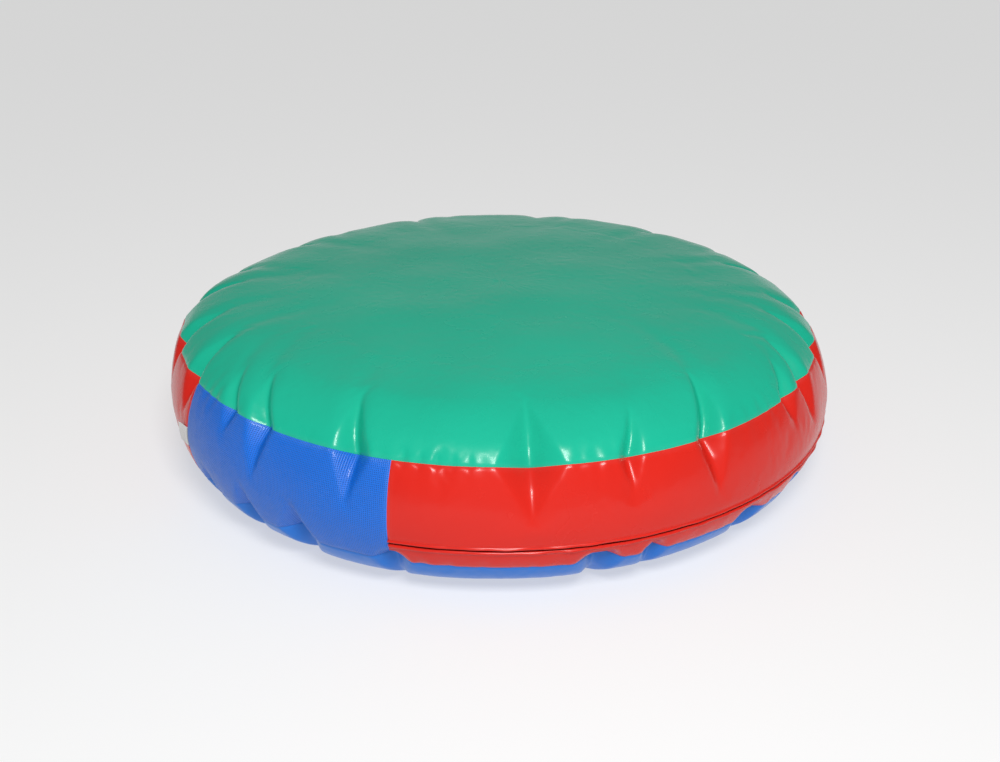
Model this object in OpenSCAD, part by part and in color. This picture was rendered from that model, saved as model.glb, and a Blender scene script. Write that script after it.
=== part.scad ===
// Round floor cushion: a sewn cover with a domed top, a bulging side band that
// holds a vent panel and a zip, a flat base, an inner cloth bag and a filling.
// The origin is on the floor under the middle of the cushion, +Z up.

/* [Cushion] */
// Height of the filled cushion above the floor
cushion_h = 335; // [325:1:345]
// Radius of the seam between the top panel and the side band
top_seam_r = 624; // [620:1:628]
// Height of that seam above the floor
top_seam_z = 252; // [246:1:256]
// Radius of the seam between the side band and the base panel
base_seam_r = 637; // [634:1:640]
// Height of that seam above the floor
base_seam_z = 74; // [70:1:78]
// Radius of the side band where it bulges most
widest_r = 652; // [650:1:656]
// Height above the floor of the widest place
widest_z = 165; // [160:1:170]
// Radius of the flat patch that rests on the floor
floor_r = 500; // [490:5:510]
// Radius of the curve that takes the top panel over into its seam
shoulder_r = 160; // [150:5:160]

/* [Fabric] */
// Thickness of the coated fabric
cover_t = 1; // [0.8:0.1:1.1]
// Width of the seam allowances turned inside
allowance = 10; // [8:1:12]
// Thickness of the inner bag's cloth
liner_t = 0.6; // [0.4:0.1:0.8]

/* [Side panels] */
// Direction of the seam between the back panel and the vent panel
vent_start = 210; // [205:1:215]
// Direction of the seam between the vent panel and the front panel
vent_end = 254; // [254:1:255]
// Direction of the seam between the front panel and the back panel
front_end = 388; // [380:1:395]

/* [Zip] */
// Distance of the zip above the base seam, along the band
zip_rise = 43; // [38:1:48]
// Width of the slit between the two folded edges
slit_w = 3; // [2.8:0.1:3.4]
// Distance of each stitched row from the middle of the slit
stitch_y = 8; // [8:0.5:10]
// Width of each fabric tape
tape_w = 16; // [15:1:18]
// Length of the slider
slider_l = 14; // [13:0.5:16]
// Length of the puller from its pivot
puller_l = 26; // [22:1:32]

/* [Label] */
// Height of the side label
label_h = 36; // [30:1:40]
// Width of the folded side label
label_w = 30; // [22:1:34]

/* [Hidden] */
$fn = 96;

// Side band: an arc in the (radius, height) plane through its two seams and its
// widest place.
band_low = [base_seam_r, base_seam_z];
band_high = [top_seam_r, top_seam_z];
band_c = circle_centre(band_low, [widest_r, widest_z], band_high);
band_r = norm(band_high - band_c);
band_a0 = heading(band_low - band_c);
band_a1 = heading(band_high - band_c);

// Base: flat on the floor, then an arc tangent to it up to the base seam.
rise_w = base_seam_r - floor_r;
rise_r = (rise_w * rise_w + base_seam_z * base_seam_z) / (2 * base_seam_z);
rise_c = [floor_r, rise_r];
rise_a1 = heading(band_low - rise_c);

// Top: a wide crown tangent to a shoulder arc that ends at the top seam.
shoulder_a0 = 36;
shoulder_c = band_high - shoulder_r * [cos(shoulder_a0), sin(shoulder_a0)];
crown_r = crown_radius(shoulder_c[0], cushion_h - shoulder_c[1] - shoulder_r);
crown_c = [0, cushion_h - crown_r];
crown_a0 = heading(shoulder_c - crown_c);

// Corners where the fabric turns at the two seams.
top_turn = turn(shoulder_a0, band_a1);
base_turn = turn(rise_a1, band_a0);

// Zip: x is the height over the band's outer face and y runs up the band.
zip_a = band_a0 + zip_rise / band_r * 180 / PI;
// Gap left between two layers of cloth that lie on each other.
lay_gap = 0.1;
turned_d = cover_t + lay_gap;
hem_w = 15;
hem_x = -2 * cover_t;
plate_gap = 0.3;
plate_t = 1;
coil_t = 2;
coil_w = 2.9;
tape_t = 0.6;
top_plate_x = hem_x - plate_gap;
coil_x = top_plate_x - plate_t - plate_gap;
tape_x = coil_x - coil_t;
base_plate_x = tape_x - tape_t - plate_gap;
coil_gap = 1;
flange_t = 0.9;
slider_half = coil_gap / 2 + coil_w + plate_gap + flange_t;
fin_t = 0.5;
stop_l = 4;
bail_t = 1.8;
bail_l = 8;
pivot_x = 1.8;
pivot_r = 0.8;
pivot_clear = 0.06;
puller_w = 7;
puller_t = 1.5;
puller_end = 1.2;
bail_room = 0.4;

zip_r = band_c[0] + band_r * cos(zip_a);
coil_start = vent_end + degrees_of(2 + stop_l);
coil_end = front_end - degrees_of(2 + stop_l);
stop_gap = degrees_of(lay_gap);
slider_a = coil_end - degrees_of(slider_l / 2 + 0.5);

// Depths below the outer face of the cover.
liner_d = 11;
filling_d = liner_d + liner_t + 0.4;

label_gap = 0.3;
label_ply = 0.5;
label_y = 0.44 * band_r * (band_a1 - band_a0) * PI / 180;

function heading(v) = atan2(v[1], v[0]);
function degrees_of(length) = length / zip_r * 180 / PI;
function on_arc(c, r, a) = c + r * [cos(a), sin(a)];
function arc(c, r, a0, a1, n) = [for (i = [0:n]) on_arc(c, r, a0 + (a1 - a0) * i / n)];

// Centre of the circle through three points.
function circle_centre(p, q, s) =
    let (d = 2 * (p[0] * (q[1] - s[1]) + q[0] * (s[1] - p[1]) + s[0] * (p[1] - q[1])),
         pp = p * p, qq = q * q, ss = s * s)
    [(pp * (q[1] - s[1]) + qq * (s[1] - p[1]) + ss * (p[1] - q[1])) / d,
     (pp * (s[0] - q[0]) + qq * (p[0] - s[0]) + ss * (q[0] - p[0])) / d];

// Radius of a crown centred on the axis that the shoulder arc meets smoothly.
function crown_radius(across, drop) = shoulder_r + (across * across + drop * drop) / (2 * drop);

// Way from a seam's corner to the same corner one unit deeper.
function turn(a, b) =
    let (u = [cos(a), sin(a)], v = [cos(b), sin(b)]) -(u + v) / (1 + u * v);

function band_arc(depth, a0, a1, n = 24) = arc(band_c, band_r - depth, a0, a1, n);
function rise_arc(depth, n = 10) = arc(rise_c, rise_r - depth, -90, rise_a1, n);
function shoulder_arc(depth, n = 12) = arc(shoulder_c, shoulder_r - depth, crown_a0, shoulder_a0, n);
function crown_arc(depth, n = 12) = arc(crown_c, crown_r - depth, 90, crown_a0, n);
function top_corner(depth) = band_high + depth * top_turn;
function base_corner(depth) = band_low + depth * base_turn;
function shorter(points) = [for (i = [0:len(points) - 2]) points[i]];
function tail(points) = [for (i = [1:len(points) - 1]) points[i]];
function turned(points) = [for (i = [len(points) - 1:-1:0]) points[i]];

// Outlines from the axis to a seam and from seam to seam, at a depth.
function top_line(depth) =
    concat(crown_arc(depth), shorter(tail(shoulder_arc(depth))), [top_corner(depth)]);
function base_line(depth) = concat([[0, depth]], shorter(rise_arc(depth)), [base_corner(depth)]);
function band_line(depth) =
    concat([base_corner(depth)], tail(shorter(band_arc(depth, band_a0, band_a1))),
           [top_corner(depth)]);

// Angle along the band at a distance above a seam or the zip.
function along(a, distance) = a + distance / band_r * 180 / PI;

// Point near the zip: x over the outer face, y up the band.
function by_zip(x, y) = on_arc(band_c, band_r + x, along(zip_a, y));
function by_zip_all(points) = [for (p = points) by_zip(p[0], p[1])];

// Angles of the two allowances that lie behind the band.
top_turned_a = along(band_a1, -allowance);
base_turned_a = along(band_a0, allowance);

module spin_between(a0, a1) {
    rotate([0, 0, a0])
        rotate_extrude(angle = a1 - a0)
            children();
}

module shell(outer, inner) {
    polygon(concat(outer, turned(inner)));
}

// Fabric turned in at an upright seam, between the two level allowances.
module turned_edge(a0, a1, low) {
    spin_between(a0, a1)
        shell(band_arc(cover_t, low, along(top_turned_a, -1)),
              band_arc(2 * cover_t, low, along(top_turned_a, -1)));
}

module band_panel(a0, a1) {
    edge = degrees_of(allowance);
    low = along(base_turned_a, 1);
    union() {
        spin_between(a0, a1) shell(band_line(0), band_line(cover_t));
        turned_edge(a0, a0 + edge, low);
        turned_edge(a1 - edge, a1, low);
    }
}

module top_panel() {
    color("mediumseagreen")
        rotate_extrude()
            polygon(concat(top_line(0),
                           band_arc(turned_d, band_a1, top_turned_a, 4),
                           band_arc(turned_d + cover_t, top_turned_a, band_a1, 4),
                           [top_corner(turned_d + cover_t)],
                           tail(turned(top_line(cover_t)))));
}

module base_panel() {
    color("royalblue")
        rotate_extrude()
            polygon(concat(base_line(0),
                           band_arc(turned_d, band_a0, base_turned_a, 4),
                           band_arc(turned_d + cover_t, base_turned_a, band_a0, 4),
                           [base_corner(turned_d + cover_t)],
                           tail(turned(base_line(cover_t)))));
}

module vent_panel() {
    color("mediumblue") band_panel(vent_start, vent_end);
}

module side_panel_back() {
    color("firebrick") band_panel(front_end, vent_start + 360);
}

// Upper half of the zipped side: from the slit to the top seam, with its hem.
module side_panel_front() {
    lip_a = along(zip_a, slit_w / 2);
    hem_a = along(lip_a, hem_w);
    edge = degrees_of(allowance);
    upper = concat(tail(shorter(band_arc(0, lip_a, band_a1))), [top_corner(0), top_corner(cover_t)]);
    color("crimson")
        union() {
            spin_between(vent_end, front_end)
                polygon(concat([by_zip(0, slit_w / 2)], upper,
                               tail(turned(band_arc(cover_t, hem_a, band_a1))),
                               turned(band_arc(2 * cover_t, lip_a, hem_a, 4))));
            turned_edge(vent_end, vent_end + edge, hem_a);
            turned_edge(front_end - edge, front_end, hem_a);
        }
}

// Lower half of the zipped side: from the base seam to the slit, with its hem.
module zip_facing() {
    lip_a = along(zip_a, -slit_w / 2);
    hem_a = along(lip_a, -hem_w);
    color("crimson")
        spin_between(vent_end, front_end)
            polygon(concat([base_corner(cover_t), base_corner(0)],
                           tail(band_arc(0, band_a0, lip_a, 6)),
                           band_arc(2 * cover_t, lip_a, hem_a, 4),
                           shorter(band_arc(cover_t, hem_a, band_a0, 4))));
}

// side is 1 above the slit and -1 below it.
module zip_tape(side) {
    flat_y = slider_half + plate_gap;
    edge_y = coil_gap / 2 + coil_w / 2;
    sewn_x = hem_x - lay_gap;
    line = [[tape_x, edge_y], [tape_x, flat_y], [sewn_x, stitch_y - 0.4],
            [sewn_x, tape_w], [sewn_x - tape_t, tape_w], [sewn_x - tape_t, stitch_y - 0.1],
            [tape_x - tape_t, flat_y + 0.3], [tape_x - tape_t, edge_y]];
    color("crimson")
        spin_between(vent_end, front_end)
            polygon(by_zip_all([for (p = line) [p[0], side * p[1]]]));
}

// Coil seen as the smooth rail that the slider runs on.
module zip_coil(side) {
    low = tape_x + lay_gap / 2;
    near = coil_gap / 2;
    far = near + coil_w;
    line = [[low, near], [coil_x - 0.3, near], [coil_x, near + 0.5],
            [coil_x, far - 0.5], [coil_x - 0.3, far], [low, far]];
    color("maroon")
        spin_between(coil_start, coil_end)
            polygon(by_zip_all([for (p = line) [p[0], side * p[1]]]));
}

module stop_block(a0, y0, y1) {
    spin_between(a0, a0 + degrees_of(stop_l))
        polygon(by_zip_all([[tape_x + lay_gap / 2, y0], [coil_x, y0],
                            [coil_x, y1], [tape_x + lay_gap / 2, y1]]));
}

module zip_top_stops() {
    color("silver") {
        stop_block(coil_end + stop_gap, coil_gap / 2, coil_gap / 2 + coil_w);
        stop_block(coil_end + stop_gap, -coil_gap / 2 - coil_w, -coil_gap / 2);
    }
}

module zip_bottom_stop() {
    reach = coil_gap / 2 + coil_w;
    color("silver") stop_block(coil_start - stop_gap - degrees_of(stop_l), -reach, reach);
}

module thread_row(y) {
    spin_between(vent_end + 0.2, front_end - 0.2)
        polygon(by_zip_all([[0, y - 0.4], [0.3, y - 0.3], [0.4, y], [0.3, y + 0.3], [0, y + 0.4]]));
}

module zip_topstitching() {
    color("darkred") {
        thread_row(stitch_y);
        thread_row(-stitch_y);
    }
}

// Places children at the zip, with x out of the band, y along the zip and z up it.
module at_zip(a) {
    rotate([0, 0, a])
        translate([zip_r, 0, band_c[1] + band_r * sin(zip_a)])
            rotate([0, -zip_a, 0])
                children();
}

// Flat slider plate with a narrow tail, seen along its thickness.
module slider_outline() {
    tail_half = slider_half - 0.8;
    polygon([[-slider_l / 2, -tail_half], [slider_l / 2 - 3, -slider_half],
             [slider_l / 2, -slider_half + 1.6], [slider_l / 2, slider_half - 1.6],
             [slider_l / 2 - 3, slider_half], [-slider_l / 2, tail_half]]);
}

// A curved slab of the slider between two depths, inside the outline given.
module slider_slab(x0, x1, y0, y1) {
    turn_a = degrees_of(slider_l);
    intersection() {
        spin_between(slider_a - turn_a, slider_a + turn_a)
            polygon(by_zip_all([[x0, y0], [x1, y0], [x1, y1], [x0, y1]]));
        at_zip(slider_a)
            translate([-20, 0, 0])
                rotate([90, 0, 90])
                    linear_extrude(40)
                        children();
    }
}

module zip_slider() {
    base_x = base_plate_x - plate_t;
    inner = slider_half - flange_t;
    color("silver")
        difference() {
            union() {
                slider_slab(top_plate_x - plate_t, top_plate_x, -slider_half, slider_half)
                    slider_outline();
                slider_slab(base_x, base_plate_x, -slider_half, slider_half) slider_outline();
                for (side = [-1, 1])
                    slider_slab(tape_x + plate_gap, top_plate_x - plate_t / 2,
                                side * inner, side * slider_half)
                        slider_outline();
                slider_slab(base_x + plate_t / 2, top_plate_x - plate_t / 2,
                            -fin_t / 2, fin_t / 2)
                    translate([slider_l / 2 - 5, 0])
                        square([6, 2 * fin_t], center = true);
                at_zip(slider_a) bail();
            }
            at_zip(slider_a)
                translate([pivot_x, 0, -bail_t])
                    cylinder(r = pivot_r + pivot_clear, h = 2 * bail_t);
        }
}

// Lug that stands up through the slit and holds the puller's bar.
module bail() {
    low = top_plate_x - plate_t / 2;
    high = pivot_x + pivot_r + 1;
    translate([0, 0, -bail_t / 2])
        linear_extrude(bail_t)
            polygon([[low, -bail_l / 2], [low, bail_l / 2], [0.4, bail_l / 2],
                     [high, 1.6], [high, -1.6], [0.4, -bail_l / 2]]);
}

module zip_puller() {
    slot_w = bail_t + 2 * bail_room;
    slot_l = bail_l / 2 + 1.4;
    color("silver")
        at_zip(slider_a)
            translate([pivot_x, 0, 0])
                union() {
                    translate([0, 0, -puller_w / 2])
                        cylinder(r = pivot_r, h = puller_w);
                    difference() {
                        translate([-puller_t / 2, 0, 0])
                            rotate([90, 0, 90])
                                linear_extrude(puller_t)
                                    tab_outline();
                        translate([-puller_t, -slot_l, -slot_w / 2])
                            cube([2 * puller_t, slot_l + puller_end + 1, slot_w]);
                    }
                }
}

// Tab that hangs back along the zip from the pivot.
module tab_outline() {
    difference() {
        union() {
            translate([-puller_l + puller_w / 2, -puller_w / 2])
                square([puller_l - puller_w / 2 + 0.7, puller_w]);
            translate([-puller_l + puller_w / 2, 0])
                circle(d = puller_w);
        }
        translate([-puller_l + puller_w / 2 + 1, 0])
            circle(d = 3);
    }
}

// Label folded in half, its two cut ends held in the vent panel's seam.
module side_label() {
    mid = along(band_a0, label_y);
    half = label_h / 2;
    turn_a = label_w / widest_r * 180 / PI;
    color("white")
        spin_between(vent_start - turn_a, vent_start)
            shell(arc(band_c, band_r + label_gap, along(mid, -half), along(mid, half), 4),
                  arc(band_c, band_r + label_gap + 2 * label_ply, along(mid, -half),
                      along(mid, half), 4));
}

module liner_top() {
    color("ivory")
        rotate_extrude()
            shell(top_line(liner_d), top_line(liner_d + liner_t));
}

module liner_side() {
    color("ivory")
        rotate_extrude()
            shell(band_line(liner_d), band_line(liner_d + liner_t));
}

module liner_base() {
    color("ivory")
        rotate_extrude()
            shell(base_line(liner_d), base_line(liner_d + liner_t));
}

module foam_filling() {
    color("khaki")
        rotate_extrude()
            polygon(concat(base_line(filling_d), tail(band_line(filling_d)),
                           tail(turned(top_line(filling_d)))));
}

top_panel();
side_panel_front();
side_panel_back();
vent_panel();
zip_facing();
base_panel();
zip_topstitching();
zip_tape(1);  // zip_tape_upper
zip_tape(-1);  // zip_tape_lower
zip_coil(1);  // zip_coil_upper
zip_coil(-1);  // zip_coil_lower
zip_top_stops();
zip_bottom_stop();
zip_slider();
zip_puller();
side_label();
liner_top();
liner_side();
liner_base();
foam_filling();
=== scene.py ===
"""Looks of the round floor cushion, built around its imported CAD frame."""

import math

import bmesh
import bpy
import numpy as np
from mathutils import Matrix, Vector
from mathutils.bvhtree import BVHTree


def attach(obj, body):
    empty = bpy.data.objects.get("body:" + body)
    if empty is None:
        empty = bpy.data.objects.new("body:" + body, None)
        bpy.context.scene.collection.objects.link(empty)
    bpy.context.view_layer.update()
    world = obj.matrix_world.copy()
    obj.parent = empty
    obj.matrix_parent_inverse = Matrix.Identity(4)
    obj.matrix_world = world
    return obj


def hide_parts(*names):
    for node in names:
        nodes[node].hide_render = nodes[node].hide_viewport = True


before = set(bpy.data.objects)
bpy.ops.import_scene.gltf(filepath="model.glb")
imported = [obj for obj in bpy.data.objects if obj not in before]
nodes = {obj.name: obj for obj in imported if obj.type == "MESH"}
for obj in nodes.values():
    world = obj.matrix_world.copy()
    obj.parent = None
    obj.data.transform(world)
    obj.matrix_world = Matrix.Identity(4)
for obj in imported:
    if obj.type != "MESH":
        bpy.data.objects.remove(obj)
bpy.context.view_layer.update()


# ---------------------------------------------------------------- studio
# The cushion stands on a plain pale floor under one softbox, above the camera and a
# little to its right. The pale surround is brightest behind the cushion.
SEAM_R = 0.624
CAMERA_AT = Vector((0, 0, 0.2 * SEAM_R))
CAMERA_HEIGHT = math.radians(24.41)
CAMERA_AWAY = 4 * SEAM_R

camera = bpy.data.objects.new("camera", bpy.data.cameras.new("camera"))
bpy.context.scene.collection.objects.link(camera)
camera.data.lens = 43.53
camera.data.sensor_width = 36
camera.data.shift_y = -0.0046
back_off = Vector((0, -math.cos(CAMERA_HEIGHT), math.sin(CAMERA_HEIGHT))) * CAMERA_AWAY
camera.location = CAMERA_AT + back_off
camera.rotation_euler = (-back_off).to_track_quat("-Z", "Y").to_euler()
bpy.context.scene.camera = camera
bpy.context.scene.view_settings.view_transform = "Standard"


FRONT_SEAM = Vector((0, -SEAM_R, 0.25))
KEY_TURN, KEY_HEIGHT, KEY_AWAY = math.radians(8), math.radians(50), 3.0
KEY_WIDE, KEY_DEEP, KEY_POWER = 1.0, 0.95, 94
key_way = Vector((math.sin(KEY_TURN) * math.cos(KEY_HEIGHT),
                  -math.cos(KEY_TURN) * math.cos(KEY_HEIGHT), math.sin(KEY_HEIGHT)))
softbox = bpy.data.lights.new("key", "AREA")
softbox.shape, softbox.size, softbox.size_y = "RECTANGLE", KEY_WIDE, KEY_DEEP
softbox.energy = KEY_POWER
key = bpy.data.objects.new("key", softbox)
bpy.context.scene.collection.objects.link(key)
key.location = FRONT_SEAM + KEY_AWAY * key_way
key.rotation_euler = (FRONT_SEAM - key.location).to_track_quat("-Z", "Y").to_euler()

# The surround: a grey that changes with height, and a bright patch behind.
SKY_LOW, SKY_HIGH, SKY_BETWEEN = 0.30, 0.34, ((0.12, 0.30), (0.40, 0.18))
PATCH_SHARPNESS, PATCH_SHARE = 8, 0.25
sky = bpy.data.worlds.new("sky")
bpy.context.scene.world = sky
sky.use_nodes = True
sky_nodes, sky_links = sky.node_tree.nodes, sky.node_tree.links
sky_height = sky_nodes.new("ShaderNodeSeparateXYZ")
sky_shade = sky_nodes.new("ShaderNodeValToRGB")
sky_links.new(sky_nodes.new("ShaderNodeTexCoord").outputs["Generated"], sky_height.inputs[0])
sky_links.new(sky_height.outputs["Z"], sky_shade.inputs["Fac"])
behind = sky_nodes.new("ShaderNodeMath")
behind.operation = "POWER"
behind.use_clamp = True
behind.inputs[1].default_value = PATCH_SHARPNESS
sky_links.new(sky_height.outputs["Y"], behind.inputs[0])
sky_sum = sky_nodes.new("ShaderNodeMix")
sky_sum.data_type, sky_sum.blend_type = "RGBA", "ADD"
sky_sum.inputs["Factor"].default_value = PATCH_SHARE
sky_links.new(sky_shade.outputs["Color"], sky_sum.inputs[6])
sky_links.new(behind.outputs[0], sky_sum.inputs[7])
sky_links.new(sky_sum.outputs[2], sky_nodes["Background"].inputs["Color"])
sky_shade.color_ramp.elements[0].color = (SKY_LOW, SKY_LOW, SKY_LOW, 1)
sky_shade.color_ramp.elements[1].color = (SKY_HIGH, SKY_HIGH, SKY_HIGH, 1)
for at, grey in SKY_BETWEEN:
    sky_shade.color_ramp.elements.new(at).color = (grey, grey, grey * 0.98, 1)


def material(name, colour, roughness, metallic=0.0):
    made = bpy.data.materials.new(name)
    made.use_nodes = True
    shader = made.node_tree.nodes["Principled BSDF"]
    shader.inputs["Base Color"].default_value = (*colour, 1)
    shader.inputs["Roughness"].default_value = roughness
    shader.inputs["Metallic"].default_value = metallic
    return made


def piece(name, mesh):
    made = bpy.data.objects.new(name, mesh)
    bpy.context.scene.collection.objects.link(made)
    return made


FLOOR_HALF, FLOOR_Z, FLOOR_GREY, FLOOR_GLOW = 40, -0.002, 0.36, 0.56
floor_mesh = bpy.data.meshes.new("floor")
floor_mesh.from_pydata([(x * FLOOR_HALF, y * FLOOR_HALF, FLOOR_Z)
                        for x, y in ((-1, -1), (1, -1), (1, 1), (-1, 1))], [], [(0, 1, 2, 3)])
floor_paint = material("floor_paint", (FLOOR_GREY, FLOOR_GREY, FLOOR_GREY), 0.9)
floor_shader = floor_paint.node_tree.nodes["Principled BSDF"]
floor_shader.inputs["Emission Color"].default_value = (1, 1, 1, 1)
floor_shader.inputs["Specular IOR Level"].default_value = 0.0
floor_shader.inputs["Emission Strength"].default_value = FLOOR_GLOW
floor_mesh.materials.append(floor_paint)
piece("floor", floor_mesh)


# ---------------------------------------------------------------- cover, cut and filled
# Two flat discs of coated fabric and a straight side band, sewn inside out and
# turned, then stuffed until the band bulges and the discs pucker at their seams.
TOP_Z, SEAM_Z = 0.335, 0.252
BASE_SEAM_R, BASE_SEAM_Z = 0.637, 0.074
WIDEST_R, WIDEST_Z = 0.652, 0.165
FLOOR_R, SHOULDER_R, SHOULDER_A = 0.500, 0.160, math.radians(36)
DISC_CUT_R = 0.648
VENT_LEFT, VENT_RIGHT, ZIP_RIGHT = -60.0, -16.0, 118.0
ZIP_RISE, STITCH_Y = 0.043, 0.008
COLUMNS = 540
SEAM_COLUMNS = (0, 66, 267, 540)
PANELS = BASE, VENT, FRONT, FACING, BACK, TOP, SLIT = range(7)


def circle_through(p, q, s):
    (ax, ay), (bx, by), (cx, cy) = p, q, s
    d = 2 * (ax * (by - cy) + bx * (cy - ay) + cx * (ay - by))
    pp, qq, ss = ax * ax + ay * ay, bx * bx + by * by, cx * cx + cy * cy
    x = (pp * (by - cy) + qq * (cy - ay) + ss * (ay - by)) / d
    y = (pp * (cx - bx) + qq * (ax - cx) + ss * (bx - ax)) / d
    return x, y, math.hypot(ax - x, ay - y)


BAND_X, BAND_Z, BAND_R = circle_through(
    (BASE_SEAM_R, BASE_SEAM_Z), (WIDEST_R, WIDEST_Z), (SEAM_R, SEAM_Z))
BAND_LOW = math.atan2(BASE_SEAM_Z - BAND_Z, BASE_SEAM_R - BAND_X)
BAND_HIGH = math.atan2(SEAM_Z - BAND_Z, SEAM_R - BAND_X)
BAND_H = BAND_R * (BAND_HIGH - BAND_LOW)
RISE_R = ((BASE_SEAM_R - FLOOR_R) ** 2 + BASE_SEAM_Z ** 2) / (2 * BASE_SEAM_Z)
RISE_A = math.atan2(BASE_SEAM_Z - RISE_R, BASE_SEAM_R - FLOOR_R)
SHOULDER_X = SEAM_R - SHOULDER_R * math.cos(SHOULDER_A)
SHOULDER_Z = SEAM_Z - SHOULDER_R * math.sin(SHOULDER_A)
CROWN_DROP = TOP_Z - SHOULDER_Z - SHOULDER_R
CROWN_R = SHOULDER_R + (SHOULDER_X ** 2 + CROWN_DROP ** 2) / (2 * CROWN_DROP)
CROWN_A = math.atan2(SHOULDER_Z - TOP_Z + CROWN_R, SHOULDER_X)
CROWN_LEN = CROWN_R * (math.pi / 2 - CROWN_A)
TOP_LEN = CROWN_LEN + SHOULDER_R * (CROWN_A - SHOULDER_A)
BASE_LEN = FLOOR_R + RISE_R * (math.pi / 2 + RISE_A)
ZIP_S = ZIP_RISE - BAND_H


def filled_profile(s):
    """Radius, height and outward angle at s along the cloth, up from the top seam."""
    s = np.asarray(s, float)
    top = (1 - s / DISC_CUT_R) * TOP_LEN
    crown = math.pi / 2 - top / CROWN_R
    shoulder = CROWN_A - (top - CROWN_LEN) / SHOULDER_R
    band = BAND_HIGH + s / BAND_R
    low = (1 + (s + BAND_H) / DISC_CUT_R) * BASE_LEN
    rise = -math.pi / 2 + (low - FLOOR_R) / RISE_R
    part = [s < -BAND_H - 1e-9, s <= 0, top < CROWN_LEN]
    on_floor = low < FLOOR_R
    r = np.select(part, [np.where(on_floor, low, FLOOR_R + RISE_R * np.cos(rise)),
                         BAND_X + BAND_R * np.cos(band), CROWN_R * np.cos(crown)],
                  SHOULDER_X + SHOULDER_R * np.cos(shoulder))
    z = np.select(part, [np.where(on_floor, 0, RISE_R + RISE_R * np.sin(rise)),
                         BAND_Z + BAND_R * np.sin(band),
                         TOP_Z - CROWN_R + CROWN_R * np.sin(crown)],
                  SHOULDER_Z + SHOULDER_R * np.sin(shoulder))
    out = np.select(part, [np.where(on_floor, -math.pi / 2, rise), band, crown], shoulder)
    return r, z, out


def cut_pattern(s):
    """Radius and height of the same cloth as it was cut, before the filling."""
    s = np.asarray(s, float)
    cone = math.sqrt(max(BASE_LEN ** 2 - DISC_CUT_R ** 2, 0))
    low = np.clip(-(s + BAND_H) / DISC_CUT_R, 0, 1)
    r = np.where(s > 0, DISC_CUT_R - s, DISC_CUT_R * (1 - low))
    return r, np.clip(BAND_H + s, 0, BAND_H) - cone * low


def spun(r, z, phi):
    """Points at a radius, a height and a direction in degrees, 0 at the front."""
    turn = np.radians(phi)
    r, z = np.broadcast_arrays(r, z)
    return np.stack([r * np.sin(turn), -r * np.cos(turn), z + 0 * turn], -1)


UPRIGHT_SEAMS = (VENT_LEFT, VENT_RIGHT, ZIP_RIGHT, VENT_LEFT + 360)
vert_s, vert_phi, vert_ring, cloth_faces, cloth_panel = [], [], [], [], []


def cloth_ring(count, s):
    first = len(vert_s)
    vert_s.extend([s] * count)
    columns = np.arange(count) * COLUMNS / count
    vert_phi.extend(np.interp(columns, SEAM_COLUMNS, UPRIGHT_SEAMS))
    vert_ring.extend([vert_ring[-1] + 1 if vert_ring else 0] * count)
    return first, count


def join_rings(wide, narrow, panel_of):
    (a0, n0), (b0, n1) = wide, narrow
    step = n0 // n1
    for i in range(n1):
        near = [a0 + (step * i + k) % n0 for k in range(step + 1)]
        far = [b0 + i, b0 + (i + 1) % n1]
        if step == 1:
            made = [(near[0], near[1], far[1], far[0])]
        else:
            made = [(near[0], near[1], far[0]), (near[1], far[1], far[0]),
                    (near[1], near[2], far[1])]
        panel = panel_of(i)
        for face in made:
            cloth_faces.append(face[::-1] if panel == BASE else face)
            cloth_panel.append(panel)


def band_panel_of(row, column):
    if column >= SEAM_COLUMNS[2]:
        return BACK
    if column < SEAM_COLUMNS[1]:
        return VENT
    return FACING if row < 5 else FRONT if row > 6 else SLIT


band_rows = [-BAND_H + (ZIP_RISE - STITCH_Y) * k / 5 for k in range(6)] + [ZIP_S]
band_rows += [(ZIP_S + STITCH_Y) * (1 - k / 18) for k in range(19)]
band_rings = [cloth_ring(COLUMNS, s) for s in band_rows]
for row in range(len(band_rings) - 1):
    join_rings(band_rings[row], band_rings[row + 1], lambda i, row=row: band_panel_of(row, i))
cell = 2 * math.pi * DISC_CUT_R / COLUMNS
for panel, ring, side, seam in ((TOP, band_rings[-1], 1, 0.0),
                                (BASE, band_rings[0], -1, -BAND_H)):
    radius = DISC_CUT_R
    while True:
        count = ring[1]
        radius -= max(2 * math.pi * radius / count, 0.85 * cell)
        if radius < 1.2 * cell:
            break
        if 2 * math.pi * radius / count < 0.62 * cell and count % 2 == 0:
            count //= 2
        next_ring = cloth_ring(count, seam + side * (DISC_CUT_R - radius))
        join_rings(ring, next_ring, lambda i, panel=panel: panel)
        ring = next_ring
    middle, _ = cloth_ring(1, seam + side * DISC_CUT_R)
    for i in range(ring[1]):
        face = (ring[0] + i, ring[0] + (i + 1) % ring[1], middle)
        cloth_faces.append(face if panel == TOP else face[::-1])
        cloth_panel.append(panel)
vert_s, vert_phi, vert_ring = np.array(vert_s), np.array(vert_phi), np.array(vert_ring)

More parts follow.
